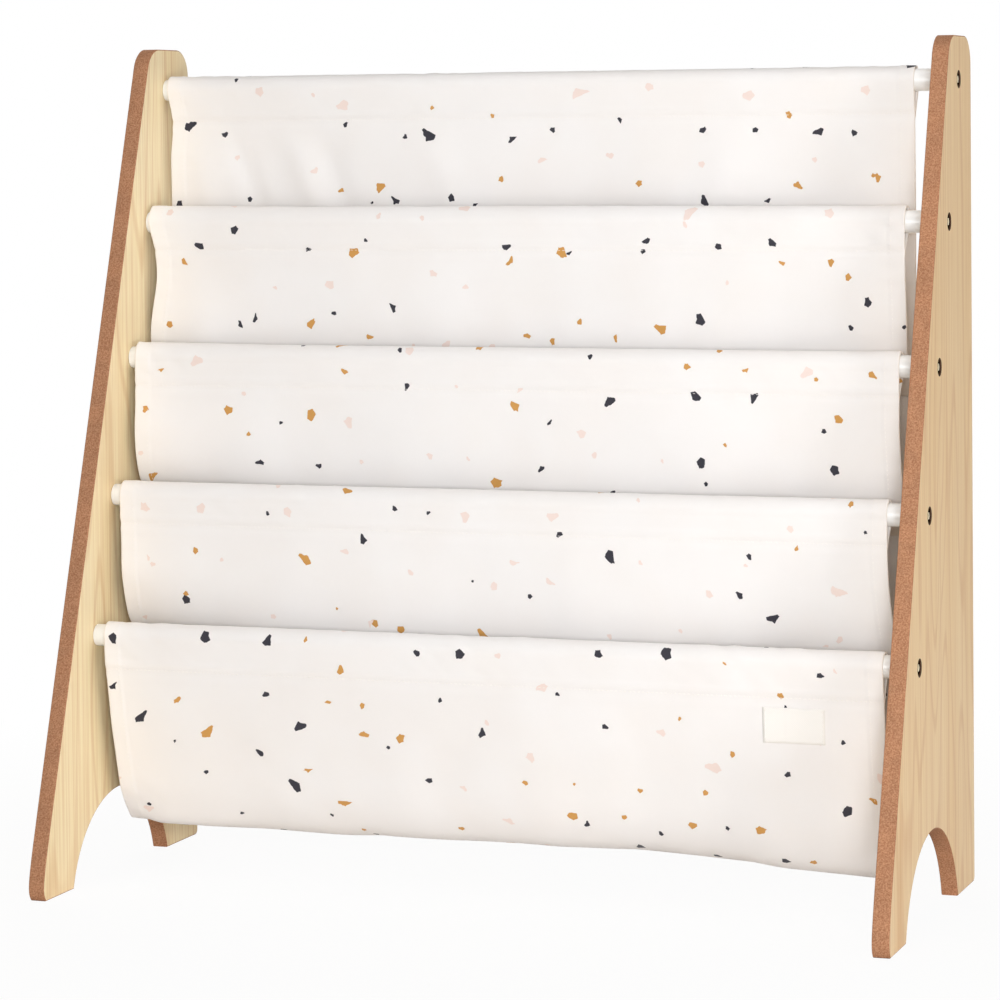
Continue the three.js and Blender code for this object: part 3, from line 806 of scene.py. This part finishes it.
# %% Helper: a sheet of cloth as a bmesh grid
def sheet_columns(inner, hem):
    """Places across a sheet, as shares of its width, with close columns at the hems."""
    places = [0, 0.0016, hem * 0.45, hem * 0.85, hem * 0.95, hem * 1.02, hem * 1.12]
    middle = [hem * 1.12 + (1 - 2.24 * hem) * k / inner for k in range(1, inner)]
    return places + middle + [1 - p for p in reversed(places)]


columns = sheet_columns(118, hem_width / sheet_width)
print("columns across a sheet:", len(columns))

# %% Helper: the whole sheet
def sheet_points(rows_of, ends_of, fold_of):
    """Three lists of rows and what widens and folds them become rows of points."""
    surface = []
    for r in range(len(rows_of[0])):
        row = []
        low, high = ends_of(r)
        for u in columns:
            left, middle, right = blend_shares(u)
            flat = rows_of[0][r] * left + rows_of[1][r] * middle + rows_of[2][r] * right
            row.append(Vector((low + (high - low) * u, flat.x, flat.y)))
        surface.append(row)
    folded = []
    for r, row in enumerate(surface):
        above, below = surface[max(r - 1, 0)], surface[min(r + 1, len(surface) - 1)]
        new_row = []
        for c, point in enumerate(row):
            along = below[c] - above[c]
            out = Vector((0, along.z, -along.y)).normalized()
            new_row.append(point + out * (fold_of(point, r) + hem_pucker(columns[c], point)))
        folded.append(new_row)
    return folded


def cloth_piece(name, surface, print_place, stands_for):
    """A grid of the surface's rows and columns, moved to its points, with a UV map in metres."""
    across, along = len(surface[0]), len(surface)
    shape = bmesh.new()
    bmesh.ops.create_grid(shape, x_segments=across - 1, y_segments=along - 1, size=1)
    shape.verts.ensure_lookup_table()
    lengths = lengths_along([row[across // 2] for row in surface], MM)
    width = (surface[-1][-1].x - surface[-1][0].x) * MM
    layer = shape.loops.layers.uv.new("cloth")
    spot = {}
    for v in shape.verts:
        c = round((v.co.x + 1) / 2 * (across - 1))
        r = round((v.co.y + 1) / 2 * (along - 1))
        spot[v] = (columns[c] * width + print_place[0], lengths[r] + print_place[1], c)
        v.co = surface[r][c] * MM
    shape.verts.index_update()
    in_hem = [min(u, 1 - u) < hem_width / sheet_width for u in columns]
    hem_verts = [v.index for v in shape.verts if in_hem[spot[v][2]]]
    for f in shape.faces:
        f.smooth = True
        for loop in f.loops:
            loop[layer].uv = spot[loop.vert][:2]
    piece = make_piece(name, shape, [canvas], stands_for)
    # The hems are folded over and pressed, so they stand a little proud on both faces
    hem = piece.vertex_groups.new(name="hem")
    hem.add(hem_verts, 1.0, "REPLACE")
    thick = piece.modifiers.new("cloth_thickness", "SOLIDIFY")
    thick.thickness = hem_thickness * MM
    thick.offset = 0
    thick.vertex_group = "hem"
    thick.thickness_vertex_group = cloth_thickness / hem_thickness
    return piece, lengths[-1]


print("cloth helpers ready")

# %% Tier panels
def tier_surface(tier):
    plan = tier_lines[tier]
    rod = rods[plan["rod"]] / MM
    stations = []
    for line, puff in zip(plan["lines"], plan["puffs"]):
        flat = soft_line(sleeve_line(line[0], puff), sleeve_rows)[:-1]
        flat += soft_line([(line[0][0] - ply, line[0][1]), *line[1:]], tier_rows)
        # The last rows lie flat against the back sheet, where the panel is sewn to it
        end = back_plane - rod.y - cloth_thickness - 0.5
        flat += [Vector((end, line[-1][1] - rise)) for rise in (3, 6, 9)]
        stations.append([Vector((rod.y + p.x, rod.z - p.y)) for p in flat])

    def ends(r):
        # The stitches hold both plies of the sleeve, so both count their rows from the seam
        below = r - sleeve_rows if r > sleeve_rows / 2 else -r
        # The right end swings out a little, as cloth does that is sewn on at its lower edge
        swing = plan["flare"] * eased(((0, 0), (tier_rows * 0.45, 1)), below)
        return eased(plan["left_hem"], below), eased(plan["right_hem"], below) + swing

    def folds(point, r):
        drop = rod.z - tier_seam - point.z
        if r > sleeve_rows + tier_rows:
            return 0.0
        if r < sleeve_rows:
            in_front = r > sleeve_rows * 0.6
            return sleeve_wrinkle(point.x, point.z, tier, drop) + (groove(drop) if in_front else 0)
        fade = min(1.0, (sleeve_rows + tier_rows - r) / 8)
        return fade * fold_height(point.x, drop, tier, tier_folds[tier]) + groove(drop)

    return sheet_points(stations, ends, folds)


# Soft folds: where each starts across, how it leans, its width and its height, in mm
tier_folds = {
    2: [(-262, 0.10, 16, 1.1), (-205, -0.15, 24, -1.2), (40, 0.2, 30, 0.9)],
    3: [(-250, 0.20, 20, -1.1), (120, -0.1, 34, 0.9)],
    4: [(-240, -0.10, 22, 1.0), (180, 0.15, 26, -0.9)],
}
tier_pieces, tier_surfaces = {}, {}
for tier in tier_lines:
    tier_surfaces[tier] = tier_surface(tier)
    piece, length = cloth_piece(f"sling_tier_{tier}", tier_surfaces[tier],
                                (0.31 * tier, 0.93 * tier), [f"tier_panel_{tier}"])
    tier_pieces[tier] = piece, length
    print("tier", tier, "is cut", round(length, 3), "m long")

# %% [markdown]
# ## The big sling
# The lowest sling and the back are one long sheet. It starts in the sleeve of the lowest rod,
# runs down in front, round the bottom and up the back, and ends in the sleeve of the top rod.
# The tier panels are sewn to it on the way.

# %% Big sling
low_rod, top_rod = rods[4] / MM, rods[0] / MM
stations = []
for line in sling_lines:
    flat = soft_line(sleeve_line(line[0], 0.9), sleeve_rows)[:-1]
    flat += soft_line([(line[0][0] - ply, line[0][1]), *line[1:-1],
                       (line[-1][0] - ply, line[-1][1])], sling_rows)
    station = [Vector((low_rod.y + p.x, low_rod.z - p.y)) for p in flat[:-1]]
    # The top sleeve goes up in front of its rod, over it and down behind
    seam = (low_rod.y + line[-1][0] - top_rod.y, top_rod.z - (low_rod.z - line[-1][1]))
    top = soft_line(sleeve_line(seam, 0.9), sleeve_rows)[::-1]
    station += [Vector((top_rod.y + p.x, top_rod.z - p.y)) for p in top]
    stations.append(station)
sling_folds_front = [(-262, 1.3, 12, -0.6), (-215, 0.25, 26, -0.9), (-60, 0.1, 40, 0.6),
                     (215, -0.2, 22, 0.8)]
sling_folds_back = [(-276, 0.15, 9, 1.2), (-246, 0.35, 9, -2.0), (-205, 0.45, 10, 2.1),
                    (-178, 0.40, 9, -1.9), (-90, 0.35, 13, 1.3), (150, -0.3, 16, 1.0)]

sewn_heights = [rods[plan["rod"]].z / MM - sewn_drop for plan in tier_lines.values()]
top_seam_row = sleeve_rows + sling_rows - 2
front_reach = 25  # the front of the sling ends at this depth, in mm


def sling_ends(r):
    start, end = sleeve_rows + 25, sleeve_rows + sling_rows - 35
    r = min(r, 2 * top_seam_row + sleeve_rows - r)  # both plies of the sleeve count from the seam
    # The top seam draws the left hem in, and the sleeve above it reaches out again
    left = eased(((start, -292.2), (end, -295.8), (top_seam_row - 7, -295.8),
                  (top_seam_row - 1, -293.8), (top_seam_row + 18, -297.2)), r)
    return left, eased(((start, 290.0), (end, 283.0)), r)


def sling_fold(point, r):
    low_drop = low_rod.z - sling_seam - point.z
    drop = top_rod.z - sling_seam - point.z
    if r < sleeve_rows:
        in_front = r > sleeve_rows * 0.6
        return sleeve_wrinkle(point.x, point.z, 5, low_drop) + (groove(low_drop) if in_front else 0)
    if r > top_seam_row:
        in_front = r < top_seam_row + sleeve_rows * 0.4
        return -sleeve_wrinkle(point.x, point.z, 1, drop) - (groove(drop) if in_front else 0)
    if point.y < front_reach:
        # Creases that run down from the left hem, where the books' weight pulls
        crease = noise.noise(Vector(((point.x - 1.2 * low_drop) / 14, low_drop / 40, 9)))
        crease *= math.exp(-((point.x + 285) / 45) ** 2 - ((low_drop - 112) / 30) ** 2)
        # The stiff hem stands up where it turns under
        lifted = 4.2 * math.exp(-((point.x + 292) / 20) ** 2 - ((low_drop - 120) / 16) ** 2)
        lifted *= min((front_reach - point.y) / 25, 1.0)
        return (fold_height(point.x, low_drop, 5, sling_folds_front) + groove(low_drop)
                + 1.1 * crease - lifted)
    fade, near = share_of((520 - drop) / 120), share_of((point.y - front_reach) / 30)
    # Each sewn line holds the sheet flat for 24 mm above and below
    held = min(min(abs(point.z - height) / 24, 1.0) for height in sewn_heights)
    return -fade * near * held * fold_height(point.x, drop, 1, sling_folds_back) - groove(drop)


sling_surface = sheet_points(stations, sling_ends, sling_fold)
sling, sling_length = cloth_piece("big_sling", sling_surface, (0.0, 0.0), ["sling_sheet"])
print("the big sling is cut", round(sling_length, 3), "m long")

# %% [markdown]
# ## Stitches
# A lockstitch looks like a row of short dashes, each about 3 mm long, that sink a little into the
# cloth. There are about 2,300 here, so each is a low sphere of 24 faces, stretched along
# the seam. They run under each sleeve, along both hems, and where a tier meets the back.

# %% Helper: a row of stitches along a line of points
stitch_step, first_stitch, stitch_half_length, stitch_half_width = 3.3, 1.7, 1.2, 0.24


def sew(path, outs, half_height):
    """A mesh of one row; each point of the path has its direction out of the cloth."""
    row = bmesh.new()
    lengths = lengths_along(path)
    done, at = first_stitch, 0
    while done < lengths[-1] - 1:
        while lengths[at + 1] < done:
            at += 1
        share = (done - lengths[at]) / (lengths[at + 1] - lengths[at])
        place = path[at].lerp(path[at + 1], share)
        along = (path[at + 1] - path[at]).normalized()
        side = along.cross(outs[at]).normalized()
        out = side.cross(along)
        turned = Matrix((along * stitch_half_length, side * stitch_half_width,
                         out * half_height)).transposed().to_4x4()
        bmesh.ops.create_uvsphere(row, u_segments=6, v_segments=4, radius=MM,
                                  matrix=Matrix.Translation(place * MM) @ turned)
        done += stitch_step
    mesh = bpy.data.meshes.new("stitch_row")
    row.to_mesh(mesh)
    row.free()
    return mesh


def out_of(surface, r, c):
    """The way out of the cloth's front at a row and column."""
    above, below = surface[max(r - 1, 0)][c], surface[min(r + 1, len(surface) - 1)][c]
    return Vector((0, (below - above).z, -(below - above).y)).normalized()


def sewn_rows(name, rows):
    """All the rows of a piece, joined in one mesh."""
    shape = bmesh.new()
    for mesh in rows:
        shape.from_mesh(mesh)
        bpy.data.meshes.remove(mesh)
    for f in shape.faces:
        f.smooth = True
    return make_piece(name, shape, [thread])


# %% Stitches of the sheets
seam_stitch_height, hem_stitch_height = 1.15, 0.95
run_length, from_end = 40, 3  # the hems are sewn in runs of so many rows, clear of the ends


def sheet_stitches(name, surface, seam_rows):
    rows = []
    for r in seam_rows:
        outs = [out_of(surface, r, c) for c in range(len(columns))]
        rows.append(sew(surface[r], outs, seam_stitch_height))
    last = len(surface) - from_end
    for place in (hem_seam / sheet_width, 1 - hem_seam / sheet_width):
        c = min(range(len(columns)), key=lambda k: abs(columns[k] - place))
        for start in range(from_end, last, run_length):
            span = range(start, min(start + run_length + 1, last))
            if len(span) > 3:
                rows.append(sew([surface[r][c] for r in span],
                                [out_of(surface, r, c) for r in span], hem_stitch_height))
    return sewn_rows(name, rows)


for tier, surface in tier_surfaces.items():
    stitches = sheet_stitches(f"stitches_tier_{tier}", surface, [sleeve_rows - 1])
    piece, length = tier_pieces[tier]
sewn_lines = [min(range(sleeve_rows + 60, sleeve_rows + sling_rows),
                  key=lambda r: abs(sling_surface[r][len(columns) // 2].z - height))
              for height in sewn_heights]
stitches = sheet_stitches("stitches_big_sling", sling_surface,
                          [sleeve_rows - 1, top_seam_row, *sewn_lines])

# %% [markdown]
# ## Label
# A folded tape, 44 mm by 25 mm, is sewn flat on the front of the big sling. It takes its curve
# from the sheet under it and lies close on its face.

# %% Label
def point_on_sling(across, below):
    """A point of the big sling's front and the way out of it, by place across and below the rod."""
    c = min(range(len(columns) - 1), key=lambda k: abs(sling_surface[60][k].x - across))
    height = low_rod.z - below
    r = min(range(sleeve_rows, sleeve_rows + 60),
            key=lambda k: abs((sling_surface[k][c].z + sling_surface[k + 1][c].z) / 2 - height))
    a, b = sling_surface[r][c], sling_surface[r + 1][c]
    share = (a.z - height) / (a.z - b.z)
    point = a.lerp(b, share)
    return Vector((across, point.y, height)), out_of(sling_surface, r, c).normalized()


label_width, label_height, tape_thickness, label_middle = 44, 25, 0.25, (226, 43)
tape_height, stitch_height = 0.58, 0.75  # above the middle of the cloth
shape = bmesh.new()
bmesh.ops.create_grid(shape, x_segments=22, y_segments=12, size=1)
layer = shape.loops.layers.uv.new("cloth")
for f in shape.faces:
    f.smooth = True
    for loop in f.loops:
        loop[layer].uv = (loop.vert.co.x * label_width / 2 * MM,
                          loop.vert.co.y * label_height / 2 * MM)
for v in shape.verts:
    across = label_middle[0] + v.co.x * label_width / 2
    below = label_middle[1] - v.co.y * label_height / 2
    point, out = point_on_sling(across, below)
    v.co = (point + out * tape_height) * MM
label = make_piece("bare_label", shape, [label_tape], ["sewn_label"])
thick = label.modifiers.new("tape_thickness", "SOLIDIFY")
thick.thickness = tape_thickness * MM
thick.offset = 0
ends = []
for side in (-1, 1):
    across = label_middle[0] + side * (label_width / 2 - 1.8)
    spots = [point_on_sling(across, label_middle[1] + k) for k in range(-12, 13)]
    path = [point + out * stitch_height for point, out in spots]
    ends.append(sew(path, [out for point, out in spots], 0.3))
label_stitches = sewn_rows("stitches_label", ends)

# %% [markdown]
# ## Floor and light
# Catalogue photographs stand on a white sweep under big soft lamps. The floor is a warm white.
# Where the camera looks straight at it, part of its brightness is set by its own colour, which
# keeps it near white and still lets the shelf's soft shadow show. The room behind is white too,
# but only where it is looked at: it gives no more than a weak warm light to the shelf.
# The key lamp stands right of the camera and models the folds. One at the camera's own height
# keeps the gaps between the slings light, and a small low one reaches the right panel's foot.
# Two large ones hang above and behind.

# %% Helper: what is looked at
def looked_at(tree):
    """1 where the camera, a reflection or a glass looks at the surface, 0 where it only lights."""
    rays = add(tree, "LightPath").outputs
    seen = add(tree, "Math", {0: rays["Is Camera Ray"], 1: rays["Is Glossy Ray"]},
               operation="MAXIMUM")
    return add(tree, "Math", {0: seen, 1: rays["Is Transmission Ray"]}, operation="MAXIMUM")


# %% Floor
floor_material, tree, shader, place = new_material("studio_floor")
fill(shader, {"Base Color": colour("#F6F2ED"), "Roughness": 0.9, "Specular IOR Level": 0.0})
seen = looked_at(tree)
distance = add(tree, "VectorMath", {0: place}, operation="LENGTH")
whiteness = add(tree, "MapRange", {"Value": distance, "From Min": 0.3,
                                   "From Max": 0.9, "To Min": 0.94, "To Max": 1.0})
share = add(tree, "Math", {0: seen, 1: whiteness}, operation="MULTIPLY")
glow = add(tree, "Emission", {"Color": (1, 1, 1, 1), "Strength": 1.0})
mixed = add(tree, "MixShader", {0: share, 1: shader, 2: glow})
fill(tree.nodes["Material Output"], {"Surface": mixed})

shape = bmesh.new()
bmesh.ops.create_grid(shape, x_segments=8, y_segments=8, size=12)  # 24 m wide, past any view
floor_mesh = bpy.data.meshes.new("studio_floor")
shape.to_mesh(floor_mesh)
shape.free()
floor_mesh.materials.append(floor_material)
floor = put_in_scene("studio_floor", floor_mesh)
print("floor:", len(floor_mesh.polygons), "faces")

# %% World and lamps
world = bpy.data.worlds.new("soft_studio")
bpy.context.scene.world = world
world.use_nodes = True
tree = world.node_tree
for node in list(tree.nodes):
    tree.nodes.remove(node)
seen = looked_at(tree)
room_light = add(tree, "Background", {"Color": colour("#FFF8F0"), "Strength": 0.17})
white_wall = add(tree, "Background", {"Color": (1, 1, 1, 1), "Strength": 1.0})
mixed = add(tree, "MixShader", {0: seen, 1: room_light, 2: white_wall})
add(tree, "OutputWorld", {"Surface": mixed})


def softbox(name, place, aim, size, power, tint):
    lamp = bpy.data.lights.new(name, "AREA")
    lamp.shape = "RECTANGLE"
    lamp.size, lamp.size_y = size
    lamp.energy = power
    lamp.color = colour(tint)[:3]
    holder = put_in_scene(name, lamp)
    holder.visible_camera = False  # a lamp stands outside the picture, whatever the view
    holder.location = place
    holder.rotation_euler = (Vector(aim) - Vector(place)).to_track_quat("-Z", "Y").to_euler()


softbox("key_softbox", (1.45, -2.8, 0.9), (0, 0, 0.3), (0.6, 0.6), 20.5, "#F8FCFF")
softbox("front_softbox", (0.78, -2.2, 0.55), (0, 0, 0.3), (0.7, 0.4), 19.8, "#F8FCFF")
softbox("side_softbox", (1.7, -0.85, 0.32), (0.3, 0, 0.15), (0.5, 0.2), 6.6, "#FFFFFF")
softbox("top_softbox", (0, -0.4, 2.8), (0, 0, 0.3), (1.6, 1.6), 18, "#FFFFFF")
softbox("back_softbox", (-1.2, 3.0, 1.4), (0, 0, 0.3), (1.6, 1.6), 36, "#FFFFFF")
bpy.context.scene.view_settings.view_transform = "Standard"
